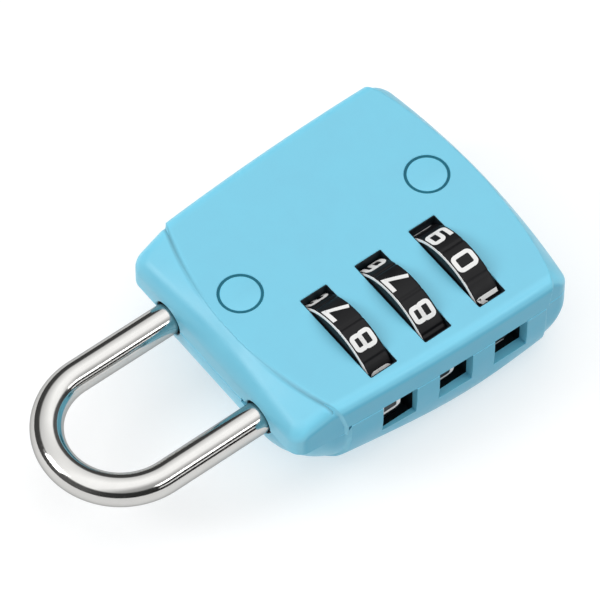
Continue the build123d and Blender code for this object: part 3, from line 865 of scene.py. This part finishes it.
def moulded_plastic(name, base, dark, roughness=(0.3, 0.42), shine=0.5, painted_shading=False):
    """Moulded plastic: faint mottling, fine spark texture and uneven gloss, and painted light and shade
    when asked.
    """
    material, nodes, links, shader = nodes_of(name)
    cloud = noise(nodes, links, MOTTLE_SCALE)
    grain = noise(nodes, links, GRAIN_SCALE, 2.0)
    colour = ramp(nodes, links, cloud.outputs["Fac"], dark, base, 0.25, 0.7).outputs["Color"]
    if painted_shading:
        colour = painted_light_and_shade(nodes, links, colour)
    links.new(colour, shader.inputs["Base Color"])
    gloss = grey_ramp(nodes, links, cloud.outputs["Fac"], *roughness)
    links.new(gloss.outputs["Color"], shader.inputs["Roughness"])
    shader.inputs["IOR"].default_value = 1.52
    shader.inputs["Specular IOR Level"].default_value = shine
    bump(nodes, links, shader, [(grain.outputs["Fac"], 0.12, GRAIN_DEPTH),
                                (cloud.outputs["Fac"], 0.08, MOTTLE_DEPTH)])
    return material


def metal(name, light, dark, roughness, bump_strength=0.05, edge=1.0):
    """Bare or plated metal with fine uneven polish."""
    material, nodes, links, shader = nodes_of(name)
    cloud = noise(nodes, links, POLISH_SCALE)
    fine = noise(nodes, links, SCRATCH_SCALE, 3.0)
    colour = ramp(nodes, links, cloud.outputs["Fac"], dark, light, 0.2, 0.8)
    links.new(colour.outputs["Color"], shader.inputs["Base Color"])
    gloss = grey_ramp(nodes, links, fine.outputs["Fac"], *roughness)
    links.new(gloss.outputs["Color"], shader.inputs["Roughness"])
    shader.inputs["Metallic"].default_value = 1.0
    shader.inputs["Specular Tint"].default_value = (edge, edge, edge, 1)
    bump(nodes, links, shader, [(fine.outputs["Fac"], bump_strength, SCRATCH_DEPTH)])
    return material


def paint_all(objects, material):
    """Makes a material the only one of each object."""
    for obj in objects:
        obj.data.materials.clear()
        obj.data.materials.append(material)


# Each material's light and dark shades, and then its range of roughness. The body's colour also carries
# painted light and shade; the two dark materials below it are painted shade.
body_material = moulded_plastic("body_plastic", (0.180, 0.582, 0.762), (0.172, 0.555, 0.735), painted_shading=True)
painted_shade_material = moulded_plastic("painted_shade_dark", (0.012, 0.022, 0.028), (0.008, 0.014, 0.018),
                                  (0.5, 0.65), shine=0.2)
gap_shade_material = moulded_plastic("gap_shade", (0.01, 0.14, 0.20), (0.008, 0.11, 0.16), (0.5, 0.65),
                               shine=0.2)
chrome_material = metal("shackle_chrome", (0.60, 0.595, 0.58), (0.56, 0.555, 0.54), (0.07, 0.14),
                        bump_strength=0.02, edge=0.5)
dial_material = moulded_plastic("dial_plastic", (0.008, 0.008, 0.009), (0.005, 0.005, 0.006),
                                (0.36, 0.5), shine=0.2)
print_and_rim_highlight_material = moulded_plastic("dial_print_and_rim_highlight", (0.86, 0.86, 0.85), (0.78, 0.78, 0.77), (0.4, 0.55))
clutch_material = metal("clutch_metal", (0.78, 0.62, 0.33), (0.66, 0.50, 0.25), (0.22, 0.36))
spring_material = metal("spring_steel", (0.62, 0.62, 0.64), (0.50, 0.50, 0.52), (0.2, 0.34))
screw_material = metal("screw_steel", (0.66, 0.66, 0.68), (0.54, 0.54, 0.56), (0.22, 0.4))


# ---------------------------------------------------------------- the object
def place(obj, body, slot_name, material, replaced=()):
    """Gives a piece its material and body, and hides the CAD nodes that it stands for. slot_name is not
    used.
    """
    paint_all([obj], material)
    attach(obj, body)
    if replaced:
        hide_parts(*replaced)


place(make_front_cover(), "casing", "body_plastic", body_material, ["front_cover"])
place(make_back_cover(), "casing", "body_plastic", body_material, ["back_cover"])
for plug in make_plugs():
    place(plug, "casing", "body_plastic", body_material, ["screw_plugs"])
# Painted shade: dark pieces in the windows and around the legs.
for painted_shade_piece in make_painted_shade_pieces():
    place(painted_shade_piece, "casing", "dial_plastic", painted_shade_material)
# Painted shade at the bottom of the plug gaps.
for gap in make_plug_gap_shades():
    place(gap, "casing", "body_plastic", gap_shade_material)
place(make_shackle(), "shackle", "shackle_chrome", chrome_material, ["shackle"])
for lug in make_lugs():
    place(lug, "shackle", "shackle_chrome", chrome_material)
for node, dial_y, dial_reading in zip(DIALS, DIAL_YS, DIAL_READINGS):
    place(make_dial(f"{node}_ring", dial_y, dial_reading), node, "dial_plastic", dial_material, [node])
    place(make_numerals(f"{node}_numerals", dial_y, dial_reading), node, "dial_plastic", print_and_rim_highlight_material)
    # The rim line is a painted highlight, drawn in the print's colour.
    place(make_painted_rim_highlight(f"{node}_painted_rim_highlight", dial_y), node, "dial_plastic", print_and_rim_highlight_material)

INNER_MATERIALS = (
    (("clutch_1", "clutch_2", "clutch_3", "thrust_ring"), clutch_material),
    (("pressure_washer", "clutch_spring", "detent_spring"), spring_material),
    (("cover_screws",), screw_material),
)
for nodes_inside, inner_material in INNER_MATERIALS:
    paint_all([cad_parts[node] for node in nodes_inside], inner_material)


# ---------------------------------------------------------------- floor, lights and camera
VIEW_AZIMUTH, VIEW_ELEVATION, VIEW_DISTANCE = 232.4, 56.5, 0.653
LENS = 384.0


def towards_viewer(azimuth, elevation):
    """From the object towards a viewer at an azimuth and elevation in degrees."""
    a, e = radians(azimuth), radians(elevation)
    return Vector((sin(a) * cos(e), -cos(a) * cos(e), sin(e)))


camera_back = towards_viewer(VIEW_AZIMUTH, VIEW_ELEVATION)
camera_right = Vector((cos(radians(VIEW_AZIMUTH)), sin(radians(VIEW_AZIMUTH)), 0))
camera_up = camera_back.cross(camera_right)
END_MIDDLE = Vector((0, END_Y, AXIS_Z)) * MM
AIM = END_MIDDLE + Vector((0, -0.00025, 0)) + camera_right * 0.00875 + camera_up * 0.0068


def set_up(name, data, back, distance):
    """A camera or light that looks at the aim from a distance back along a direction."""
    obj = bpy.data.objects.new(name, data)
    bpy.context.scene.collection.objects.link(obj)
    obj.location = AIM + back * distance
    obj.rotation_mode = "QUATERNION"
    obj.rotation_quaternion = (-back).to_track_quat("-Z", "Y")
    return obj


def make_camera():
    """The camera at the viewing angle, with a long lens."""
    data = bpy.data.cameras.new("camera")
    data.lens, data.sensor_width = LENS, 36.0
    data.clip_start, data.clip_end = 0.05, 20.0
    bpy.context.scene.camera = set_up("camera", data, camera_back, VIEW_DISTANCE)


def area_light(name, azimuth, elevation, distance, size, power):
    """A soft box, width by height, seen from the object at an azimuth and elevation in degrees."""
    light = bpy.data.lights.new(name, "AREA")
    light.shape = "RECTANGLE"
    light.size, light.size_y = size
    light.energy = power
    set_up(name, light, towards_viewer(azimuth, elevation), distance)


def make_floor():
    """A plain pale floor."""
    half, steps = 1.2, 8
    line = np.linspace(-half, half, steps + 1)
    points = [(x / MM, y / MM, 0.0) for y in line for x in line]
    faces = []
    for j in range(steps):
        for i in range(steps):
            a = j * (steps + 1) + i
            faces.append((a, a + 1, a + steps + 2, a + steps + 1))
    floor = add_mesh("floor", points, faces)
    material, nodes, links, shader = nodes_of("floor_paint")
    cloud = noise(nodes, links, 6)
    colour = ramp(nodes, links, cloud.outputs["Fac"], (0.54, 0.54, 0.54), (0.56, 0.56, 0.56))
    links.new(colour.outputs["Color"], shader.inputs["Base Color"])
    shader.inputs["Roughness"].default_value = 0.6
    shader.inputs["Emission Color"].default_value = (1, 1, 1, 1)
    shader.inputs["Emission Strength"].default_value = 0.48
    paint_all([floor], material)


def make_world():
    """A pale studio that is bright above, dim near the floor and dimmer towards both sides."""
    world = bpy.data.worlds.new("studio")
    bpy.context.scene.world = world
    world.use_nodes = True
    nodes, links = world.node_tree.nodes, world.node_tree.links
    background = nodes["Background"]
    coordinates = nodes.new("ShaderNodeTexCoord")
    split = nodes.new("ShaderNodeSeparateXYZ")
    links.new(coordinates.outputs["Generated"], split.inputs["Vector"])
    by_height = level_ramp(nodes, ((0.0, 0.14), (0.54, 0.14), (0.64, 1.55), (1.0, 1.62)))
    links.new(split.outputs["Z"], by_height.inputs["Fac"])
    across = nodes.new("ShaderNodeMapRange")
    across.inputs["From Min"].default_value = -1.0
    links.new(split.outputs["X"], across.inputs["Value"])
    by_side = level_ramp(nodes, ((0.0, 0.25), (0.22, 0.38), (0.38, 0.95), (0.6, 1.0), (0.88, 0.55)))
    links.new(across.outputs["Result"], by_side.inputs["Fac"])
    mix = nodes.new("ShaderNodeMix")
    mix.data_type, mix.blend_type = "RGBA", "MULTIPLY"
    mix.inputs["Factor"].default_value = 1.0
    links.new(by_height.outputs["Color"], mix.inputs["A"])
    links.new(by_side.outputs["Color"], mix.inputs["B"])
    links.new(mix.outputs["Result"], background.inputs["Color"])
    background.inputs["Strength"].default_value = 1.0


make_camera()
make_floor()
area_light("key", 152, 34, 0.6, (0.22, 0.22), 0.95)
area_light("edge", 294, 38, 0.7, (0.5, 0.10), 0.7)
area_light("strip", 290, 17, 0.7, (0.5, 0.06), 0.15)
make_world()
bpy.context.scene.view_settings.view_transform = "Standard"
